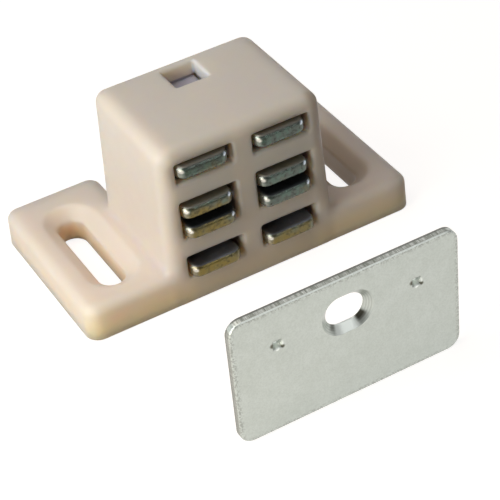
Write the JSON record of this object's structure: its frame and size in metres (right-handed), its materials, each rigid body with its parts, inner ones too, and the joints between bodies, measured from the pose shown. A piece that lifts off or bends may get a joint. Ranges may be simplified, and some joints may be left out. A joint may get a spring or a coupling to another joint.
{
  "type": "magnetic catch",
  "caption": "Moulded cabinet catch with slotted ears, floating magnet packs whose steel pole tips stand out of the front, and a flat steel strike plate.",
  "frame": {"origin": "centre of the mounting face under the case, midway between the ears' ends and between the front and back edges of the base", "axes": "+Z out of the mounting surface, towards the case's roof; +X from the left ear to the right ear; -Y the way the pole tips point, towards the strike plate"},
  "size_m": [0.0572, 0.0629, 0.0277],
  "materials": {
    "nylon": "satin",
    "pole_steel": "satin",
    "magnet": "matte",
    "strike_steel": "satin"
  },
  "bodies": {
    "case": {"housing": "nylon", "rear_cover": "nylon"},
    "left_upper_pack": {"pole_plate_left_1": "pole_steel", "magnet_left_upper": "magnet", "pole_plate_left_2": "pole_steel"},
    "left_lower_pack": {"pole_plate_left_3": "pole_steel", "magnet_left_lower": "magnet", "pole_plate_left_4": "pole_steel"},
    "right_upper_pack": {"pole_plate_right_1": "pole_steel", "magnet_right_upper": "magnet", "pole_plate_right_2": "pole_steel"},
    "right_lower_pack": {"pole_plate_right_3": "pole_steel", "magnet_right_lower": "magnet", "pole_plate_right_4": "pole_steel"},
    "strike": {"strike_plate": "strike_steel"}
  },
  "joints": [
    {"name": "left_upper_float", "type": "slide", "parent": "case", "child": "left_upper_pack", "axis": [0, 1, 0], "range_m": [-0.0006, 0.0004]},
    {"name": "left_lower_float", "type": "slide", "parent": "case", "child": "left_lower_pack", "axis": [0, 1, 0], "range_m": [0, 0.001]},
    {"name": "right_upper_float", "type": "slide", "parent": "case", "child": "right_upper_pack", "axis": [0, 1, 0], "range_m": [-0.0006, 0.0004]},
    {"name": "right_lower_float", "type": "slide", "parent": "case", "child": "right_lower_pack", "axis": [0, 1, 0], "range_m": [0, 0.001]},
    {"name": "strike_approach", "type": "slide", "parent": "case", "child": "strike", "axis": [0, 1, 0], "range_m": [0, 0.0269]}
  ]
}
